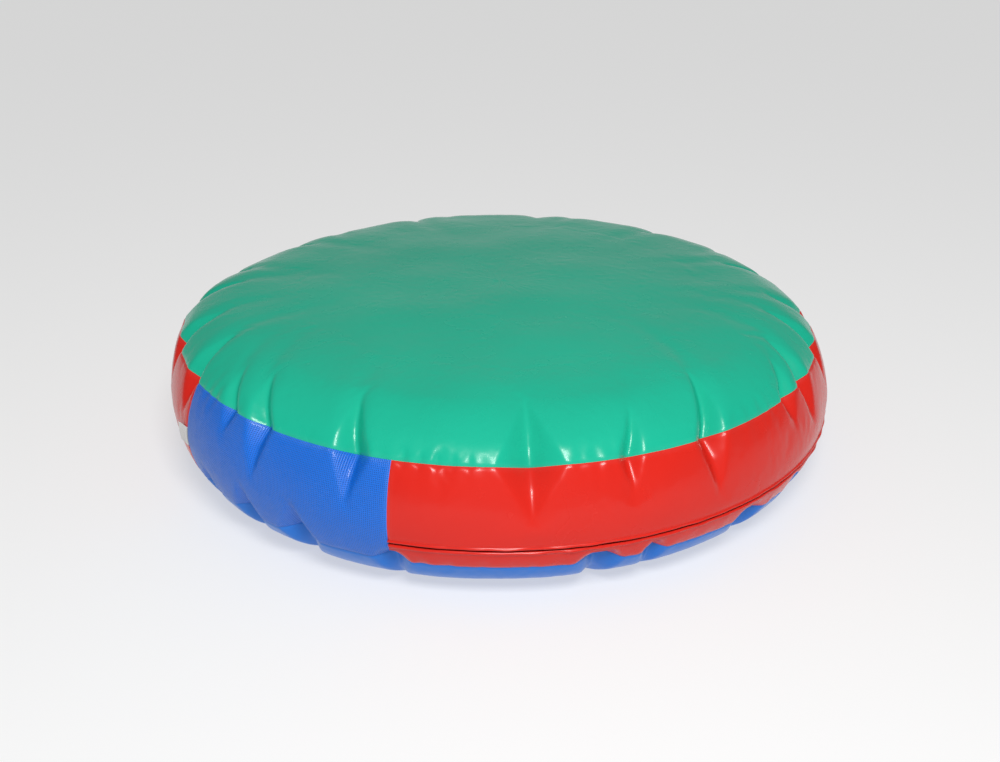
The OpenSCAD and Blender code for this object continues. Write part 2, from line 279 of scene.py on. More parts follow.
# Puckers: direction, reach over the disc and down or up the band, half width,
# depth and lean in degrees at the far end. The first row lies on the top seam.
TOP_PUCKERS = (
    (4.5, 0.150, 0.088, 0.060, 0.019, 0), (19.5, 0.100, 0.062, 0.026, 0.011, 3),
    (33.8, 0.160, 0.105, 0.036, 0.019, 6), (54, 0.090, 0.055, 0.028, 0.010, 5),
    (61.5, 0.120, 0.090, 0.034, 0.016, 4), (76, 0.140, 0.070, 0.042, 0.016, 3),
    (91, 0.120, 0.075, 0.040, 0.014, -2), (107, 0.150, 0.080, 0.046, 0.017, 2),
    (124, 0.100, 0.060, 0.034, 0.012, -3), (138, 0.150, 0.085, 0.050, 0.018, 1),
    (156, 0.120, 0.070, 0.038, 0.014, 4), (172, 0.140, 0.080, 0.048, 0.017, -2),
    (-171, 0.090, 0.055, 0.030, 0.011, 3), (-157, 0.150, 0.085, 0.050, 0.018, -1),
    (-140, 0.110, 0.065, 0.036, 0.013, 3), (-124, 0.150, 0.080, 0.046, 0.017, -2),
    (-108, 0.110, 0.070, 0.036, 0.014, 2), (-93, 0.140, 0.075, 0.044, 0.016, -3),
    (-77, 0.120, 0.070, 0.040, 0.015, -2), (-63, 0.130, 0.075, 0.036, 0.015, -3),
    (-48, 0.095, 0.045, 0.026, 0.009, -5), (-40, 0.110, 0.100, 0.036, 0.017, -6),
    (-22.5, 0.125, 0.085, 0.038, 0.017, -3))
BASE_PUCKERS = (
    (-54.5, 0.090, 0.055, 0.034, 0.014, 0), (-43.3, 0.100, 0.075, 0.040, 0.020, 0),
    (-32.2, 0.110, 0.085, 0.046, 0.024, 0), (-16, 0.095, 0.050, 0.034, 0.017, 0),
    (14.8, 0.110, 0.070, 0.044, 0.021, 0), (23.5, 0.080, 0.060, 0.026, 0.014, 0),
    (42.5, 0.110, 0.070, 0.044, 0.020, 0), (57, 0.090, 0.065, 0.036, 0.017, 0),
    (72, 0.110, 0.070, 0.044, 0.020, 0), (88, 0.085, 0.060, 0.034, 0.015, 0),
    (103, 0.110, 0.070, 0.046, 0.020, 0), (120, 0.090, 0.080, 0.040, 0.017, 0),
    (137, 0.110, 0.090, 0.048, 0.021, 0), (155, 0.085, 0.065, 0.036, 0.015, 0),
    (171, 0.110, 0.090, 0.046, 0.020, 0), (-172, 0.080, 0.060, 0.034, 0.014, 0),
    (-156, 0.110, 0.085, 0.048, 0.021, 0), (-138, 0.090, 0.070, 0.038, 0.017, 0),
    (-121, 0.110, 0.080, 0.044, 0.020, 0), (-104, 0.085, 0.060, 0.036, 0.015, 0),
    (-87, 0.105, 0.080, 0.044, 0.019, 0), (-70, 0.090, 0.070, 0.038, 0.017, 0))
# Small gathers where the seam was eased in beside the vent panel.
GATHERS = tuple((-14.2 + 2.45 * k, 0.026, 0.014, 0.012, depth, 0)
                for k, depth in enumerate((0.0032, 0.0026, 0.0036, 0.0024, 0.0022)))


def positive(x, softness):
    """x where it is above 0, and 0 below, with a soft turn between them."""
    return 0.5 * (x + np.sqrt(x * x + softness * softness))


def signed(phi):
    return (phi + 180) % 360 - 180


SIDE_R = 0.64


def across(phi, centre):
    """How far round the side phi is from the centre, in metres."""
    return np.radians(signed(phi - centre)) * SIDE_R


def pucker_depth(puckers, seam, side, s, phi, softness, blunt):
    depth = np.zeros(len(s))
    q = (s - seam) * side
    for centre, disc_reach, band_reach, half, deep, lean in puckers:
        reach = np.where(q > 0, disc_reach, band_reach)
        x = across(phi, centre + lean * np.clip(q / disc_reach, 0, 1.5)) / half
        h = 1 - np.sqrt((q / reach) ** 2 + blunt) - np.sqrt(x * x + 4 * blunt)
        depth = np.maximum(depth, deep * positive(h, softness))
    return depth


def away_from_zip(s, phi):
    """0 along the zip, which stays a clean arc, and 1 away from it."""
    clear = np.clip((np.abs(s - ZIP_S) - 0.0135) / 0.018, 0, 1)
    return np.where((phi > VENT_RIGHT - 3) & (phi < ZIP_RIGHT + 3), clear, 1.0)


# How softly a pucker's sides turn and how blunt its ridges are: first the broad
# dents that the filling starts from, then the sharp creases laid over them.
BROAD, SHARP = (0.03, 0.0008), (0.02, 0.0007)
vert_phi = signed(vert_phi)
dents = (pucker_depth(TOP_PUCKERS, 0.0, 1, vert_s, vert_phi, *BROAD)
         + pucker_depth(BASE_PUCKERS, -BAND_H, -1, vert_s, vert_phi, *BROAD))
dents *= away_from_zip(vert_s, vert_phi)
rng = np.random.default_rng(7)
uneven = rng.normal(0, 0.0002, len(vert_s)) * away_from_zip(vert_s, vert_phi)
start_r, start_z, start_out = filled_profile(vert_s)

# Beside its seam the top disc lies a little flatter than the round shoulder.
RIM_SLOPE, RIM_REACH = 0.20, 0.20
rim = np.clip(vert_s / RIM_REACH, 0, 1)
rim = RIM_SLOPE * RIM_REACH * rim * (1 - rim) ** 2
smooth_r, smooth_z = start_r - np.cos(start_out) * rim, start_z - np.sin(start_out) * rim
inward = dents + uneven
start = spun(smooth_r - np.cos(start_out) * inward,
             smooth_z - np.sin(start_out) * inward, vert_phi)
cut_r, cut_z = cut_pattern(vert_s)
FILL_STEPS, MOST_MOVE = 18, 0.025


def blow_up(points):
    """The filled cover: cloth cut to the pattern, pressed out by the filling."""
    mesh = bpy.data.meshes.new("cover_cloth")
    mesh.from_pydata(points.tolist(), [], cloth_faces)
    cloth = piece("cover_cloth", mesh)
    cloth.shape_key_add(name="filled")
    flat = cloth.shape_key_add(name="pattern")
    flat.value = 0
    flat.data.foreach_set("co", spun(cut_r, cut_z, vert_phi).astype(np.float32).ravel())
    on_zip = (vert_phi > VENT_RIGHT) & (vert_phi < ZIP_RIGHT) & (np.abs(vert_s - ZIP_S) < 0.0125)
    still = (vert_s < -BAND_H - 0.22) | (vert_s > 0.25) | on_zip
    cloth.vertex_groups.new(name="held").add([int(i) for i in np.where(still)[0]], 1, "REPLACE")
    sim = cloth.modifiers.new("cloth", "CLOTH")
    fabric = sim.settings
    fabric.quality, fabric.mass, fabric.air_damping = 6, 0.02, 2
    fabric.tension_stiffness = fabric.compression_stiffness = 60
    fabric.shear_stiffness, fabric.bending_stiffness = 30, 0.8
    fabric.tension_damping = fabric.compression_damping = fabric.shear_damping = 5
    fabric.bending_damping = 0.5
    fabric.vertex_group_mass, fabric.pin_stiffness, fabric.rest_shape_key = "held", 5, flat
    shell = bmesh.new()
    shell.from_mesh(mesh)
    fabric.use_pressure, fabric.uniform_pressure_force = True, 2.0
    fabric.use_pressure_volume = True
    fabric.target_volume = 1.01 * abs(shell.calc_volume(signed=True))
    shell.free()
    fabric.effector_weights.gravity = 0
    sim.collision_settings.use_collision = False
    sim.collision_settings.use_self_collision = False
    for step in range(FILL_STEPS):
        bpy.context.scene.frame_set(step + 1)
    grown = cloth.evaluated_get(bpy.context.evaluated_depsgraph_get()).data
    result = np.zeros(3 * len(grown.vertices), np.float32)
    grown.vertices.foreach_get("co", result)
    bpy.context.scene.frame_set(1)
    bpy.data.objects.remove(cloth)
    result = result.reshape(-1, 3).astype(float)
    move = result - points
    far = np.linalg.norm(move, axis=1, keepdims=True)
    return points + move * np.minimum(1, MOST_MOVE / np.maximum(far, 1e-9))


cover = blow_up(start)

# Each ring of the two discs goes back to the profile on average, so that the
# crown keeps its height and only the folds stay. It sets in over 5 cm from the seam.
SET_IN = 0.05
cover_r = np.hypot(cover[:, 0], cover[:, 1])
per_ring = np.bincount(vert_ring)
drift_r = (np.bincount(vert_ring, cover_r - smooth_r) / per_ring)[vert_ring]
drift_z = (np.bincount(vert_ring, cover[:, 2] - smooth_z) / per_ring)[vert_ring]
on_disc = np.clip(np.maximum(vert_s, -BAND_H - vert_s) / SET_IN, 0, 1)
on_disc = on_disc * on_disc * (3 - 2 * on_disc)
cover[:, :2] *= (1 - on_disc * drift_r / np.maximum(cover_r, 1e-6))[:, None]
cover[:, 2] -= on_disc * drift_z

cloth_mesh = bpy.data.meshes.new("cover_fine")
cloth_mesh.from_pydata(cover.tolist(), [], cloth_faces)
cloth_mesh.polygons.foreach_set("material_index", cloth_panel)
for panel in PANELS:
    cloth_mesh.materials.append(None)
cloth_mesh.attributes.new("along", "FLOAT", "POINT").data.foreach_set("value", vert_s)
fine = piece("cover_fine", cloth_mesh)
finer = fine.modifiers.new("finer", "SUBSURF")
finer.levels = finer.render_levels = 1


def made_plain(shape):
    """The object's mesh with its modifiers worked in."""
    seen = shape.evaluated_get(bpy.context.evaluated_depsgraph_get())
    mesh = bpy.data.meshes.new_from_object(seen)
    shape.modifiers.clear()
    return mesh


fine_mesh = made_plain(fine)
bpy.data.objects.remove(fine)
count = len(fine_mesh.vertices)
fine_co, fine_s = np.zeros(3 * count), np.zeros(count)
fine_mesh.vertices.foreach_get("co", fine_co)
fine_mesh.attributes["along"].data.foreach_get("value", fine_s)
fine_co = fine_co.reshape(-1, 3)
fine_phi = np.degrees(np.arctan2(fine_co[:, 0], -fine_co[:, 1]))
fine_faces = [tuple(face.vertices) for face in fine_mesh.polygons]
fine_panel = np.array([face.material_index for face in fine_mesh.polygons])


def ripple(phi, low, high, terms, seed):
    """A fixed uneven wave round the cushion, between about -1 and 1."""
    draw = np.random.default_rng(seed)
    total = np.zeros(len(phi))
    for _ in range(terms):
        total += np.sin(np.radians(phi) * draw.integers(low, high) + draw.uniform(0, 6.3))
    return total / math.sqrt(terms)


def lumps(points, seed):
    """Soft rises and hollows left by the filling, between about -1 and 1."""
    draw = np.random.default_rng(seed)
    total = np.zeros(len(points))
    for _ in range(9):
        heading, length = draw.uniform(0, 6.3), draw.uniform(0.16, 0.42)
        run = points[:, 0] * math.cos(heading) + points[:, 1] * math.sin(heading)
        total += np.sin(run * 6.283 / length + draw.uniform(0, 6.3))
    return total / 3


CREASE, LONG_FOLD, LONG_REACH = 0.50, 0.45, 2.6
RIPPLE, LUMP, LEFT_BULGE = 0.0006, 0.0011, 0.013


def small_folds(points, s, phi):
    """How much deeper the sharp creases, gathers, long folds and lumps lie."""
    deeper = CREASE * (pucker_depth(TOP_PUCKERS, 0.0, 1, s, phi, *SHARP)
                       + pucker_depth(BASE_PUCKERS, -BAND_H, -1, s, phi, *SHARP))
    deeper += pucker_depth(GATHERS, 0.0, 1, s, phi, 0.01, 0.0002)
    for centre, disc_reach, _, half, deep, lean in TOP_PUCKERS:
        reach = LONG_REACH * disc_reach
        fold_x = across(phi, centre + 1.3 * lean * np.clip(s / disc_reach, 0, 2))
        fold_x = (fold_x / (0.55 * half * (1 + s / reach))) ** 2
        fold = np.clip(1 - s / reach, 0, 1) ** 1.5 * np.clip(1 + s / 0.04, 0, 1)
        deeper += LONG_FOLD * deep * fold * (np.exp(-fold_x) - 0.45 * np.exp(-fold_x / 5))
    near_seam = np.exp(-np.abs(s) / 0.02) + np.exp(-np.abs(s + BAND_H) / 0.02)
    deeper += (RIPPLE * near_seam * ripple(phi, 60, 170, 9, 3)
               * np.clip(0.5 + ripple(phi, 3, 14, 4, 9), 0.1, 1.4))
    seam_away = np.minimum(np.abs(s), np.abs(s + BAND_H))
    deeper += LUMP * lumps(points, 5) * np.clip(seam_away / 0.05, 0, 1)
    deeper -= LEFT_BULGE * np.exp(-(signed(phi + 90) / 20) ** 2 - ((s - 0.02) / 0.11) ** 2)
    return deeper * away_from_zip(s, phi)


# The cloth sinks at its seams and a little at the stitching beside the zip.
SEAM_SINK, SEAM_HALF, STITCH_SINK = 0.0014, 0.0022, 0.0004
from_top, from_base = np.abs(fine_s), np.abs(fine_s + BAND_H)
on_band = (fine_s < 1e-6) & (fine_s > -BAND_H - 1e-6)
from_upright = np.min([np.abs(across(fine_phi, at))
                       for at in (VENT_LEFT, VENT_RIGHT, ZIP_RIGHT)], axis=0)
from_upright = np.where(on_band, from_upright, 1.0)
from_seam = np.minimum(np.minimum(from_top, from_base), from_upright)
deeper = small_folds(fine_co, fine_s, fine_phi)
deeper += SEAM_SINK * np.exp(-(from_seam / SEAM_HALF) ** 2)
in_front = on_band & (fine_phi > VENT_RIGHT) & (fine_phi < ZIP_RIGHT)
stitched = in_front & (np.abs(np.abs(fine_s - ZIP_S) - STITCH_Y) < 0.001)
deeper += STITCH_SINK * stitched
_, _, fine_out = filled_profile(fine_s)
fine_co = fine_co - spun(np.cos(fine_out) * deeper, np.sin(fine_out) * deeper, fine_phi)
fine_co[:, 2] = np.maximum(fine_co[:, 2], 0)
whole = bpy.data.meshes.new("whole_cover")
whole.from_pydata(fine_co.tolist(), [], fine_faces)
fine_normal = np.zeros(3 * count)
whole.vertex_normals.foreach_get("vector", fine_normal)
fine_normal = fine_normal.reshape(-1, 3)
COVER_T, TURNED_IN = 0.001, 0.007


def walled(made, thickness, offset=-1):
    """The piece with its cloth's thickness worked in, shaded smooth."""
    wall = made.modifiers.new("thickness", "SOLIDIFY")
    wall.thickness, wall.offset = thickness, offset
    made.data = made_plain(made)
    shaded_smooth(made)


def shaded_smooth(made):
    for face in made.data.polygons:
        face.use_smooth = True


def by_zip(x, y, phi):
    """A point x out of the band and y up it from the middle of the zip, in metres."""
    a = BAND_HIGH + (ZIP_S + y) / BAND_R
    return spun(BAND_X + (BAND_R + x) * np.cos(a), BAND_Z + (BAND_R + x) * np.sin(a), phi)


def sewn_panel(name, panel, lips=()):
    """One cut piece of the cover, with its edges turned in and its thickness.

    lips gives the folded hem beside the slit, as a side and its outline."""
    cut = bmesh.new()
    along = cut.verts.layers.float.new("along")
    seam = cut.verts.layers.float.new("seam")
    chosen = np.where(fine_panel == panel)[0]
    used = sorted({v for f in chosen for v in fine_faces[f]})
    new = {}
    for v in used:
        new[v] = cut.verts.new(fine_co[v])
        new[v][along], new[v][seam] = fine_s[v], from_seam[v]
    sunk = {new[v]: Vector(fine_co[v] - TURNED_IN * fine_normal[v]) for v in used}
    phi_of = {new[v]: fine_phi[v] for v in used}
    for f in chosen:
        cut.faces.new([new[v] for v in fine_faces[f]])
    at_hem = [v for v in sunk if lips and abs(abs(v[along] - ZIP_S) - STITCH_Y) < 0.001]
    at_hem.sort(key=phi_of.get)
    open_edges = [e for e in cut.edges if e.is_boundary
                  and not (e.verts[0] in at_hem and e.verts[1] in at_hem)]
    inside = {}
    for e in open_edges:
        loop = e.link_loops[0]
        a, b = loop.vert, loop.link_loop_next.vert
        for v in (a, b):
            if v not in inside:
                inside[v] = cut.verts.new(sunk[v])
                inside[v][along], inside[v][seam] = v[along], 0
        cut.faces.new((b, a, inside[a], inside[b]))
        e.smooth = False
    for side, outline in lips:
        phis = np.array([phi_of[v] for v in at_hem])
        puff = 1 + 0.3 * ripple(phis, 20, 90, 6, 11 + side)
        edge = 0.0002 * ripple(phis, 10, 60, 5, 17 + side)
        last = at_hem
        for x, y in outline:
            bulge = np.where(x > 0, puff, 1)
            row = [cut.verts.new(p) for p in by_zip(x * bulge, side * (y + edge), phis)]
            for v in row:
                v[along], v[seam] = ZIP_S + side * y, 0.02
            for i in range(len(row) - 1):
                ring = (last[i], row[i], row[i + 1], last[i + 1])
                cut.faces.new(ring if side > 0 else ring[::-1])
            last = row
    for f in cut.faces:
        f.smooth = True
    mesh = bpy.data.meshes.new(name)
    cut.to_mesh(mesh)
    cut.free()
    made = piece(name + "_cloth", mesh)
    walled(made, COVER_T)
    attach(made, "cushion")
    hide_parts(name)
    return made


# ---------------------------------------------------------------- top panel
# A disc of green coated fabric, 1 mm thick, sewn to the side band all round
# with its edge turned in.
GREEN = (0.009, 0.445, 0.282)


def coated_fabric(name, colour, roughness=0.25, grain=0.03):
    """Smooth plastic-coated fabric: fine grain, uneven gloss, and a painted highlight along the
    seams.
    """
    made = material(name, colour, roughness)
    tree = made.node_tree
    shader = tree.nodes["Principled BSDF"]
    place = tree.nodes.new("ShaderNodeTexCoord").outputs["Object"]

    def noise(scale, detail):
        node = tree.nodes.new("ShaderNodeTexNoise")
        node.inputs["Scale"].default_value, node.inputs["Detail"].default_value = scale, detail
        tree.links.new(place, node.inputs["Vector"])
        return node.outputs["Fac"]

    def between(value, low, high, out_low, out_high):
        node = tree.nodes.new("ShaderNodeMapRange")
        for socket, number in zip(node.inputs[1:5], (low, high, out_low, out_high)):
            socket.default_value = number
        tree.links.new(value, node.inputs[0])
        return node.outputs[0]

    def tinted(fac, first, second):
        # A colour mix takes its colours at sockets 6 and 7 and gives it at 2.
        node = tree.nodes.new("ShaderNodeMix")
        node.data_type = "RGBA"
        tree.links.new(fac, node.inputs["Factor"])
        for socket, value in ((node.inputs[6], first), (node.inputs[7], second)):
            if isinstance(value, tuple):
                socket.default_value = (*value, 1)
            else:
                tree.links.new(value, socket)
        return node.outputs[2]

    seam_highlight_colour = tuple(min(1, c * 0.95 + 0.02) for c in colour)
    darker = tuple(c * 0.90 for c in colour)
    cloudy = tinted(between(noise(3.5, 3), 0.2, 0.8, 0, 1), darker, colour)
    # Painted highlight: within 10 mm of each seam, and on the turned-in edges, the colour turns
    # paler.
    seam = tree.nodes.new("ShaderNodeAttribute")
    seam.attribute_name = "seam"
    painted_seam_highlight = between(seam.outputs["Fac"], 0.0, 0.010, 0.45, 0.0)
    tree.links.new(tinted(painted_seam_highlight, cloudy, seam_highlight_colour), shader.inputs["Base Color"])
    tree.links.new(between(noise(12, 4), 0, 1, roughness - 0.06, roughness + 0.08),
                   shader.inputs["Roughness"])
    shader.inputs["Specular IOR Level"].default_value = 0.24
    shader.inputs["Coat Weight"].default_value = 0.08
    shader.inputs["Coat Roughness"].default_value = 0.09
    bump = tree.nodes.new("ShaderNodeBump")
    bump.inputs["Strength"].default_value = grain
    bump.inputs["Distance"].default_value = 0.0004
    tree.links.new(noise(900, 2), bump.inputs["Height"])
    tree.links.new(bump.outputs["Normal"], shader.inputs["Normal"])
    return made


def dressed(made, finish):
    made.data.materials.clear()
    made.data.materials.append(finish)
    return made


top_panel = dressed(sewn_panel("top_panel", TOP), coated_fabric("green_coating", GREEN))


# ---------------------------------------------------------------- base panel
# A disc of blue coated fabric, a little rougher than the top one, that lies on the
# floor. It is cut as large as the top disc, and curls up to its seam with the band.
BLUE = (0.012, 0.170, 0.640)
base_panel = dressed(sewn_panel("base_panel", BASE), coated_fabric("blue_coating", BLUE, 0.30))


# ---------------------------------------------------------------- vent panel
# Coarse blue mesh of coated threads, let into the band between two upright seams,
# so that air leaves the cushion when someone sits down on it.
# The mesh's blue, and a dark blue painted as shade into the gaps between its threads.
VENT_BLUE, VENT_GAP_SHADE = (0.001, 0.150, 0.700), (0.0, 0.03, 0.20)
WEAVE_PITCH = 0.0033
WAVE_LENGTH = 0.314  # of a wave texture at scale 1, in metres
vent_panel = sewn_panel("vent_panel", VENT)
weave_map = vent_panel.data.uv_layers.new(name="weave")
loop_vert = np.zeros(len(vent_panel.data.loops), np.int32)
vent_panel.data.loops.foreach_get("vertex_index", loop_vert)
vent_co = np.zeros(3 * len(vent_panel.data.vertices))
vent_panel.data.vertices.foreach_get("co", vent_co)
vent_co = vent_co.reshape(-1, 3)[loop_vert]
vent_s = np.zeros(len(vent_panel.data.vertices))
vent_panel.data.attributes["along"].data.foreach_get("value", vent_s)
weave_uv = np.stack([np.arctan2(vent_co[:, 0], -vent_co[:, 1]) * WIDEST_R,
                     vent_s[loop_vert]], -1)
weave_map.data.foreach_set("uv", weave_uv.ravel())
vent_weave = coated_fabric("vent_weave", VENT_BLUE, 0.40)
vent_tree = vent_weave.node_tree
weave_place = vent_tree.nodes.new("ShaderNodeUVMap")
weave_place.uv_map = "weave"
threads = []
for direction in ("X", "Y"):
    thread = vent_tree.nodes.new("ShaderNodeTexWave")
    thread.bands_direction = direction
    thread.inputs["Scale"].default_value = WAVE_LENGTH / WEAVE_PITCH
    thread.inputs["Distortion"].default_value = 0.25
    vent_tree.links.new(weave_place.outputs["UV"], thread.inputs["Vector"])
    threads.append(thread.outputs["Fac"])
weave = vent_tree.nodes.new("ShaderNodeMath")
weave.operation = "MAXIMUM"
for k, thread in enumerate(threads):
    vent_tree.links.new(thread, weave.inputs[k])
weave_bump = vent_tree.nodes.new("ShaderNodeBump")
weave_bump.inputs["Strength"].default_value = 0.9
weave_bump.inputs["Distance"].default_value = 0.0006
vent_tree.links.new(weave.outputs[0], weave_bump.inputs["Height"])
vent_shader = vent_tree.nodes["Principled BSDF"]
vent_shader.inputs["Specular IOR Level"].default_value = 0.45
vent_colour = vent_shader.inputs["Base Color"].links[0].from_socket
# Painted shade: where the threads' relief is lowest, in the gaps between them, the colour turns
# dark blue.
painted_gap_shade = vent_tree.nodes.new("ShaderNodeMix")
painted_gap_shade.data_type = "RGBA"
painted_gap_shade.inputs[6].default_value = (*VENT_GAP_SHADE, 1)
gap_shade_amount = vent_tree.nodes.new("ShaderNodeMapRange")
gap_shade_amount.inputs["From Min"].default_value = 0.1
gap_shade_amount.inputs["From Max"].default_value = 0.5
vent_tree.links.new(weave.outputs[0], gap_shade_amount.inputs[0])
vent_tree.links.new(gap_shade_amount.outputs[0], painted_gap_shade.inputs["Factor"])
vent_tree.links.new(vent_colour, painted_gap_shade.inputs[7])
vent_tree.links.new(painted_gap_shade.outputs[2], vent_shader.inputs["Base Color"])
vent_tree.links.new(weave_bump.outputs["Normal"], vent_shader.inputs["Normal"])
dressed(vent_panel, vent_weave)


# ---------------------------------------------------------------- side panels
# Red coated fabric: one long piece round the back, and the front piece, which
# ends at the zip in a folded hem over a narrow facing with a hem of its own.
RED = (0.650, 0.018, 0.010)
red_coating = coated_fabric("red_coating", RED)
back_panel = dressed(sewn_panel("side_panel_back", BACK), red_coating)
# The hem's outline from its stitching round to behind the slit: how far it stands
# out of the band, and how far it is from the middle of the slit.
HEM = ((0.0006, 0.0073), (0.0015, 0.0064), (0.0023, 0.0053), (0.0023, 0.0043), (0.0016, 0.0033),
       (0.0007, 0.0024), (-0.0003, 0.0018), (-0.0012, 0.0016), (-0.0018, 0.0022),
       (-0.0020, 0.0032), (-0.0020, 0.0090), (-0.0020, 0.0160))
front_panel = dressed(sewn_panel("side_panel_front", FRONT, ((1, HEM),)), red_coating)
facing = dressed(sewn_panel("zip_facing", FACING, ((-1, HEM),)), red_coating)


# ---------------------------------------------------------------- zip tapes and stitching
# Two woven tapes carry the coils. Each is sewn under its hem by one row of red
# thread, 8 mm from the slit.
TAPE_X, TAPE_T, TAPE_W = -0.0056, 0.0006, 0.016
COIL_GAP, COIL_W, COIL_T = 0.001, 0.0029, 0.002


def zip_strip(name, outline, first, last, columns):
    """A closed band that follows the zip, with its outline given as x and y."""
    phis = np.linspace(first, last, columns)
    rows = np.stack([by_zip(x, y, phis) for x, y in outline], 1).reshape(-1, 3)
    n = len(outline)
    faces = [(k * n + i, k * n + (i + 1) % n, k * n + n + (i + 1) % n, k * n + n + i)
             for k in range(columns - 1) for i in range(n)]
    faces += [tuple(range(n))[::-1], tuple(range((columns - 1) * n, columns * n))]
    mesh = bpy.data.meshes.new(name)
    mesh.from_pydata(rows.tolist(), [], faces)
    shape = bmesh.new()
    shape.from_mesh(mesh)
    bmesh.ops.recalc_face_normals(shape, faces=shape.faces)
    shape.to_mesh(mesh)
    shape.free()
    made = piece(name + "_woven", mesh)
    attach(made, "cushion")
    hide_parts(name)
    return made


def woven(name, colour, pitch, roughness=0.8, depth=0.3):
    """Plain woven cloth with threads at a pitch, seen in the piece's own place, its grooves
    darkened as painted shade.
    """
    made = material(name, colour, roughness)
    tree = made.node_tree
    shader = tree.nodes["Principled BSDF"]
    place = tree.nodes.new("ShaderNodeTexCoord").outputs["Object"]
    ridges = []
    for direction in ("X", "Z"):
        wave = tree.nodes.new("ShaderNodeTexWave")
        wave.bands_direction = direction
        wave.inputs["Scale"].default_value = WAVE_LENGTH / pitch
        wave.inputs["Distortion"].default_value = 0.6
        tree.links.new(place, wave.inputs["Vector"])
        ridges.append(wave.outputs["Fac"])
    crossed = tree.nodes.new("ShaderNodeMath")
    crossed.operation = "MULTIPLY"
    for k, ridge in enumerate(ridges):
        tree.links.new(ridge, crossed.inputs[k])
    # Painted shade: the colour darkens where the threads' relief is low, in the grooves between
    # them.
    mix = tree.nodes.new("ShaderNodeMix")
    mix.data_type = "RGBA"
    mix.inputs[6].default_value = (*(c * 0.72 for c in colour), 1)
    mix.inputs[7].default_value = (*colour, 1)
    tree.links.new(crossed.outputs[0], mix.inputs["Factor"])
    tree.links.new(mix.outputs[2], shader.inputs["Base Color"])
    bump = tree.nodes.new("ShaderNodeBump")
    bump.inputs["Strength"].default_value = depth
    bump.inputs["Distance"].default_value = 0.3 * pitch
    tree.links.new(crossed.outputs[0], bump.inputs["Height"])
    tree.links.new(bump.outputs["Normal"], shader.inputs["Normal"])
    return made


# A tape lies flat under its coil, then steps up to the cover where it is sewn on.
tape_weave = woven("tape_weave", (0.42, 0.012, 0.012), 0.0009)
EDGE_Y, FLAT_Y, SEWN_X = 0.002, COIL_GAP / 2 + COIL_W + 0.0015, -0.0021
TAPE = ((TAPE_X, EDGE_Y), (TAPE_X, FLAT_Y), (SEWN_X, STITCH_Y - 0.0004), (SEWN_X, TAPE_W),
        (SEWN_X - TAPE_T, TAPE_W), (SEWN_X - TAPE_T, STITCH_Y - 0.0001),
        (TAPE_X - TAPE_T, FLAT_Y + 0.0003), (TAPE_X - TAPE_T, EDGE_Y))
for name, side in (("zip_tape_upper", 1), ("zip_tape_lower", -1)):
    tape = zip_strip(name, [(x, side * y) for x, y in TAPE], VENT_RIGHT, ZIP_RIGHT, 403)
    dressed(tape, tape_weave)


def zip_line(name, x, y, first, last, count=1600):
    """Points along the zip at a depth and a height, each with its way out."""
    phis = np.linspace(first, last, count)
    mesh = bpy.data.meshes.new(name)
    mesh.from_pydata(by_zip(x, y, phis).tolist(), [(i, i + 1) for i in range(count - 1)], [])
    a = BAND_HIGH + (ZIP_S + y) / BAND_R
    way = spun(math.cos(a), math.sin(a), phis).astype(np.float32)
    outwards = mesh.attributes.new("way_out", "FLOAT_VECTOR", "POINT")
    outwards.data.foreach_set("vector", way.ravel())
    return piece(name, mesh)


def repeated(name, inputs, build):
    """A node tree that lays one shape along a line, with named inputs for its sizes."""
    tree = bpy.data.node_groups.new(name, "GeometryNodeTree")
    new_socket = tree.interface.new_socket
    new_socket("Geometry", in_out="INPUT", socket_type="NodeSocketGeometry")
    new_socket("Geometry", in_out="OUTPUT", socket_type="NodeSocketGeometry")
    kinds = {float: "NodeSocketFloat", bpy.types.Material: "NodeSocketMaterial"}
    sockets = {label: new_socket(label, in_out="INPUT", socket_type=kinds[type(value)])
               for label, value in inputs.items()}
    start, end = tree.nodes.new("NodeGroupInput"), tree.nodes.new("NodeGroupOutput")

    def add(kind, links=None, **settings):
        node = tree.nodes.new(kind)
        for key, value in settings.items():
            setattr(node, key, value)
        for key, value in (links or {}).items():
            if isinstance(value, bpy.types.NodeSocket):
                tree.links.new(value, node.inputs[key])
            else:
                node.inputs[key].default_value = value
        return node.outputs[0]

    line = add("GeometryNodeMeshToCurve", {"Mesh": start.outputs["Geometry"]})
    points = add("GeometryNodeResampleCurve",
                 {"Curve": line, "Length": start.outputs["Spacing"]}, mode="LENGTH")
    shape, turn = build(add, start.outputs)
    laid = add("GeometryNodeInstanceOnPoints", {"Points": points, "Instance": shape,
                                                "Rotation": turn})
    real = add("GeometryNodeRealizeInstances", {"Geometry": laid})
    dyed = add("GeometryNodeSetMaterial", {"Geometry": real, "Material": start.outputs["Finish"]})
    tree.links.new(dyed, end.inputs["Geometry"])
    return tree, sockets, inputs


def lay_along(lines, kit, name):
    """One plain mesh of the repeated shape along all the lines."""
    tree, sockets, inputs = kit
    joined = bmesh.new()
    for line in lines:
        laid = line.modifiers.new("laid", "NODES")
        laid.node_group = tree
        for label, value in inputs.items():
            laid[sockets[label].identifier] = value
        mesh = made_plain(line)
        joined.from_mesh(mesh)
        bpy.data.objects.remove(line)
    result = bpy.data.meshes.new(name)
    joined.to_mesh(result)
    joined.free()
    result.materials.append(inputs["Finish"])
    made = piece(name + "_laid", result)
    shaded_smooth(made)
    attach(made, "cushion")
    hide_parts(name)
    return made


def stitch(add, sizes):
    """One long bead of thread that lies along the row."""
    bead = add("GeometryNodeMeshUVSphere", {"Segments": 6, "Rings": 5, "Radius": 1.0})
    size = add("ShaderNodeCombineXYZ", {"X": sizes["Half length"], "Y": sizes["Half thickness"],
                                        "Z": sizes["Half thickness"]})
    bead = add("GeometryNodeTransform", {"Geometry": bead, "Scale": size})
    turn = add("FunctionNodeAlignRotationToVector",
               {"Vector": add("GeometryNodeInputTangent")}, axis="X")
    return bead, turn


